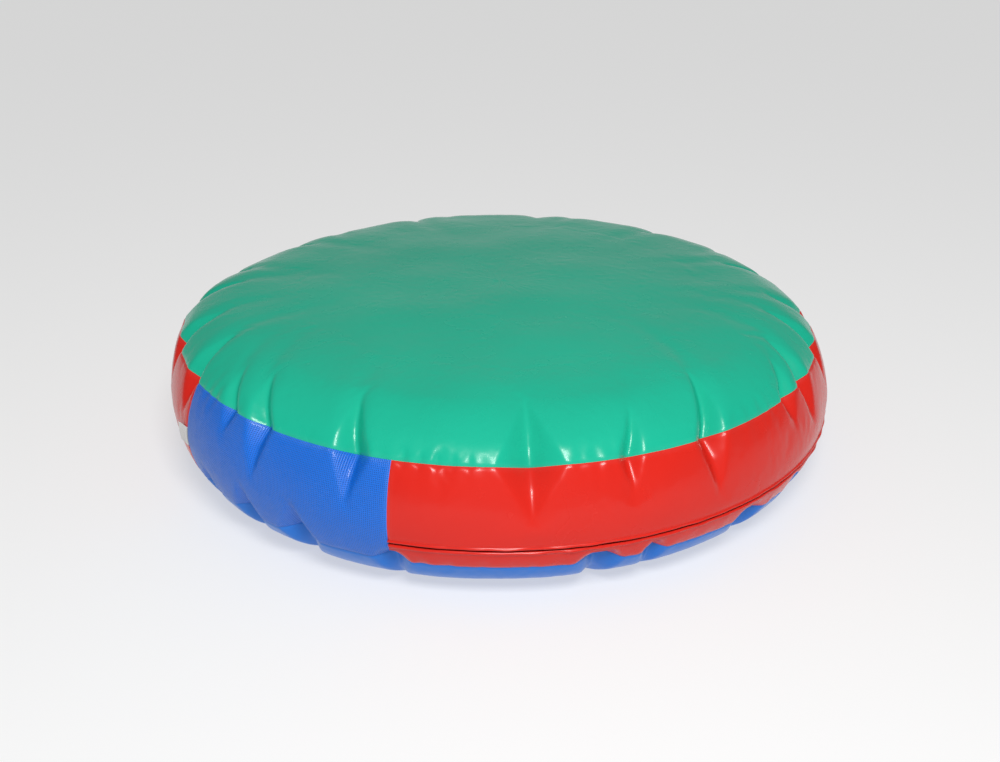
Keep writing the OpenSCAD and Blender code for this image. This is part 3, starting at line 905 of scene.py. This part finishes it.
red_thread = woven("red_thread", (0.62, 0.035, 0.028), 0.0004, 0.6)
stitching = repeated("stitch_row", {"Spacing": 0.0036, "Half length": 0.0016,
                                    "Half thickness": 0.00038, "Finish": red_thread}, stitch)
rows = [zip_line("stitch_line", -0.0002, y, VENT_RIGHT + 0.3, ZIP_RIGHT - 0.3)
        for y in (STITCH_Y, -STITCH_Y)]
lay_along(rows, stitching, "zip_topstitching")


# ---------------------------------------------------------------- zip coils
# Two coils wound from dark red nylon wire, sewn along the tapes' facing edges.
# They end at the metal stops, a few millimetres short of the tapes' ends.
STOP_L, ZIP_ARC_R = 0.004, BAND_X + BAND_R * math.cos(BAND_HIGH + ZIP_S / BAND_R)
STOP_TURN = math.degrees((0.002 + STOP_L) / ZIP_ARC_R)


COIL_LEAN = 0.22


def coil_turn(add, sizes):
    """One flattened turn of wire, leaning along the coil and facing out."""
    loop = add("GeometryNodeCurvePrimitiveCircle", {"Resolution": 8, "Radius": 1.0})
    size = add("ShaderNodeCombineXYZ", {"X": sizes["Half depth"], "Y": sizes["Half width"],
                                        "Z": 1.0})
    loop = add("GeometryNodeTransform", {"Geometry": loop, "Scale": size,
                                         "Rotation": (COIL_LEAN, 0.0, 0.0)})
    wire = add("GeometryNodeCurvePrimitiveCircle", {"Resolution": 4, "Radius": sizes["Wire"]})
    loop = add("GeometryNodeCurveToMesh", {"Curve": loop, "Profile Curve": wire})
    turn = add("FunctionNodeAlignRotationToVector",
               {"Vector": add("GeometryNodeInputTangent")}, axis="Z")
    way = add("GeometryNodeInputNamedAttribute", {"Name": "way_out"}, data_type="FLOAT_VECTOR")
    turn = add("FunctionNodeAlignRotationToVector", {"Rotation": turn, "Vector": way},
               axis="X", pivot_axis="Z")
    return loop, turn


coil_nylon = material("coil_nylon", (0.30, 0.008, 0.010), 0.38)
coil_tree = coil_nylon.node_tree
coil_grain = coil_tree.nodes.new("ShaderNodeTexNoise")
coil_grain.inputs["Scale"].default_value = 260
coil_place = coil_tree.nodes.new("ShaderNodeTexCoord")
coil_tree.links.new(coil_place.outputs["Object"], coil_grain.inputs["Vector"])
coil_gloss = coil_tree.nodes.new("ShaderNodeMapRange")
coil_gloss.inputs["To Min"].default_value, coil_gloss.inputs["To Max"].default_value = 0.28, 0.5
coil_tree.links.new(coil_grain.outputs["Fac"], coil_gloss.inputs[0])
coil_tree.links.new(coil_gloss.outputs[0], coil_tree.nodes["Principled BSDF"].inputs["Roughness"])
WIRE = 0.00032
coils = repeated("zip_coil", {"Spacing": 0.0015, "Half depth": COIL_T / 2 - WIRE - 0.0001,
                              "Half width": COIL_W / 2 - WIRE, "Wire": WIRE,
                              "Finish": coil_nylon}, coil_turn)
for name, side in (("zip_coil_upper", 1), ("zip_coil_lower", -1)):
    line = zip_line("coil_line", TAPE_X + COIL_T / 2 + 0.0001, side * (COIL_GAP + COIL_W) / 2,
                    VENT_RIGHT + STOP_TURN, ZIP_RIGHT - STOP_TURN)
    lay_along([line], coils, name)


# ---------------------------------------------------------------- zip metal
# Slider with its bail, the puller that hangs on it and the crimped stops keep
# their exact shape, in nickel-plated metal with fine scratches.
nickel = material("nickel", (0.62, 0.60, 0.57), 0.28, 1.0)
nickel_tree = nickel.node_tree
scratch = nickel_tree.nodes.new("ShaderNodeTexNoise")
scratch.inputs["Scale"].default_value = 420
scratch.inputs["Detail"].default_value = 6
nickel_place = nickel_tree.nodes.new("ShaderNodeTexCoord")
nickel_tree.links.new(nickel_place.outputs["Object"], scratch.inputs["Vector"])
rub = nickel_tree.nodes.new("ShaderNodeMapRange")
rub.inputs["To Min"].default_value, rub.inputs["To Max"].default_value = 0.18, 0.42
nickel_tree.links.new(scratch.outputs["Fac"], rub.inputs[0])
nickel_shader = nickel_tree.nodes["Principled BSDF"]
nickel_tree.links.new(rub.outputs[0], nickel_shader.inputs["Roughness"])
dull = nickel_tree.nodes.new("ShaderNodeValToRGB")
dull.color_ramp.elements[0].color = (0.42, 0.40, 0.37, 1)
dull.color_ramp.elements[1].color = (0.68, 0.66, 0.63, 1)
nickel_tree.links.new(scratch.outputs["Fac"], dull.inputs["Fac"])
nickel_tree.links.new(dull.outputs["Color"], nickel_shader.inputs["Base Color"])
for name in ("zip_slider", "zip_puller", "zip_top_stops", "zip_bottom_stop"):
    nodes[name].data.materials.clear()
    nodes[name].data.materials.append(nickel)


# ---------------------------------------------------------------- side label
# A strip of white satin, folded in half, whose cut ends are caught in the seam
# between the back panel and the vent panel. It carries no print.
LABEL_H, LABEL_W, LABEL_T, LABEL_S = 0.036, 0.030, 0.00022, -0.104
LABEL_ROWS, LABEL_STEPS, IN_SEAM, PLY_GAP = 13, 14, 0.002, 0.0010
back_skin = BVHTree.FromPolygons([v.co for v in back_panel.data.vertices],
                                 [tuple(f.vertices) for f in back_panel.data.polygons])


def over_band(s, reach, lift):
    """A point that far past the vent seam along the back panel, lifted off the cloth."""
    phi = VENT_LEFT - math.degrees(reach / SIDE_R)
    r, z, out = (float(v) for v in filled_profile(s))
    ray = Vector(spun(math.cos(out), math.sin(out), phi))
    spot, _, _, _ = back_skin.ray_cast(Vector(spun(r, z, phi)) + 0.05 * ray, -ray, 0.09)
    return (spot or Vector(spun(r, z, phi))) + lift * ray


# Each row runs out along the outer ply, round the fold and back along the inner
# ply. The loose end curls off the cloth, more at the top corner.
label_points = []
for k in range(LABEL_ROWS):
    drop = (k / (LABEL_ROWS - 1) - 0.5) * LABEL_H
    outer, under = [], []
    for i in range(LABEL_STEPS + 1):
        reach = -IN_SEAM + (LABEL_W + IN_SEAM) * i / LABEL_STEPS
        curl = 0.0045 * (max(reach, 0) / LABEL_W) ** 2 * (1 + 12 * drop)
        parted = PLY_GAP * math.sin(math.pi * min(1, 3.2 * (1 - i / LABEL_STEPS)) / 2)
        outer.append((reach, 0.0012 + curl))
        under.append((reach - 0.0001, 0.0012 + curl - parted))
    end = outer[-1][1]
    fold = [(LABEL_W + 0.0006, end - 0.0003), (LABEL_W + 0.0004, end - 0.0008)]
    label_points += [over_band(LABEL_S + drop, reach, lift)
                     for reach, lift in outer + fold + under[:-1][::-1]]
row_len = len(label_points) // LABEL_ROWS
label_faces = [(k + i, k + i + 1, k + row_len + i + 1, k + row_len + i)
               for k in range(0, (LABEL_ROWS - 1) * row_len, row_len) for i in range(row_len - 1)]
label_mesh = bpy.data.meshes.new("side_label")
label_mesh.from_pydata([tuple(p) for p in label_points], [], label_faces)
label = piece("side_label_satin", label_mesh)
walled(label, LABEL_T, 0)
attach(label, "cushion")
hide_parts("side_label")
dressed(label, woven("label_satin", (0.86, 0.85, 0.83), 0.0005, 0.45, 0.15))


# ---------------------------------------------------------------- inner bag
# A cotton bag of two discs and a side strip, a little smaller than the cover, so
# that the filling comes out in one piece when the cover is washed.
LINER_D, LINER_T = 0.0115, 0.0006
edge_a = np.array([f[i] for f in cloth_faces for i in range(len(f))])
edge_b = np.array([f[(i + 1) % len(f)] for f in cloth_faces for i in range(len(f))])
neighbours = np.bincount(edge_a, minlength=len(cover))[:, None]
soft = cover.copy()
SMOOTHINGS = 6
for _ in range(SMOOTHINGS):
    total = np.stack([np.bincount(edge_a, soft[edge_b, k], len(cover)) for k in range(3)], -1)
    soft = 0.5 * soft + 0.5 * total / neighbours
soft_mesh = bpy.data.meshes.new("soft")
soft_mesh.from_pydata(soft.tolist(), [], cloth_faces)
soft_normal = np.zeros(3 * len(soft))
soft_mesh.vertex_normals.foreach_get("vector", soft_normal)
soft_normal = soft_normal.reshape(-1, 3)
room = np.sum((cover - soft) * soft_normal, axis=1)
folds = np.maximum(small_folds(cover, vert_s, vert_phi), 0)
inner = soft + (np.minimum(room, 0) - LINER_D)[:, None] * soft_normal
inner -= spun(np.cos(start_out) * folds, np.sin(start_out) * folds, vert_phi)


def inner_piece(name, panels, points, thickness):
    """One piece under the chosen panels, as a cloth or, with no thickness, as a body."""
    chosen = [f for f, panel in zip(cloth_faces, cloth_panel) if panel in panels]
    used = {v: i for i, v in enumerate(sorted({v for f in chosen for v in f}))}
    mesh = bpy.data.meshes.new(name)
    mesh.from_pydata([tuple(points[v]) for v in used], [], [[used[v] for v in f] for f in chosen])
    made = piece(name + "_inside", mesh)
    if thickness:
        walled(made, thickness)
    else:
        shaded_smooth(made)
    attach(made, "cushion")
    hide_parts(name)
    return made


cotton = woven("liner_cotton", (0.72, 0.68, 0.60), 0.0011, 0.9)
for name, panels in (("liner_top", (TOP,)), ("liner_side", (VENT, FRONT, FACING, BACK, SLIT)),
                     ("liner_base", (BASE,))):
    liner = dressed(inner_piece(name, panels, inner, LINER_T), cotton)


# ---------------------------------------------------------------- filling
# Crumbled yellow foam, poured into the bag until it is tight; each crumb is pale in its middle
# and painted darker towards the crevices between crumbs, as shade. It gives the cushion its shape
# and bounce.
FOAM_D = 0.0128
foam = material("foam_crumb", (0.74, 0.62, 0.34), 0.95)
foam_tree = foam.node_tree
crumb = foam_tree.nodes.new("ShaderNodeTexVoronoi")
crumb.inputs["Scale"].default_value = 70
foam_place = foam_tree.nodes.new("ShaderNodeTexCoord")
foam_tree.links.new(foam_place.outputs["Object"], crumb.inputs["Vector"])
# Painted shade: pale at each crumb's middle, dark towards the crevices between crumbs.
foam_crevice_shade = foam_tree.nodes.new("ShaderNodeValToRGB")
foam_crevice_shade.color_ramp.elements[0].color = (0.80, 0.70, 0.42, 1)
foam_crevice_shade.color_ramp.elements[1].color = (0.52, 0.40, 0.18, 1)
foam_bump = foam_tree.nodes.new("ShaderNodeBump")
foam_bump.invert = True
foam_bump.inputs["Distance"].default_value = 0.004
foam_tree.links.new(crumb.outputs["Distance"], foam_crevice_shade.inputs["Fac"])
foam_tree.links.new(crumb.outputs["Distance"], foam_bump.inputs["Height"])
foam_shader = foam_tree.nodes["Principled BSDF"]
foam_tree.links.new(foam_crevice_shade.outputs["Color"], foam_shader.inputs["Base Color"])
foam_tree.links.new(foam_bump.outputs["Normal"], foam_shader.inputs["Normal"])
crumbs = inner - (FOAM_D - LINER_D) * soft_normal
filling = dressed(inner_piece("foam_filling", PANELS, crumbs, 0), foam)
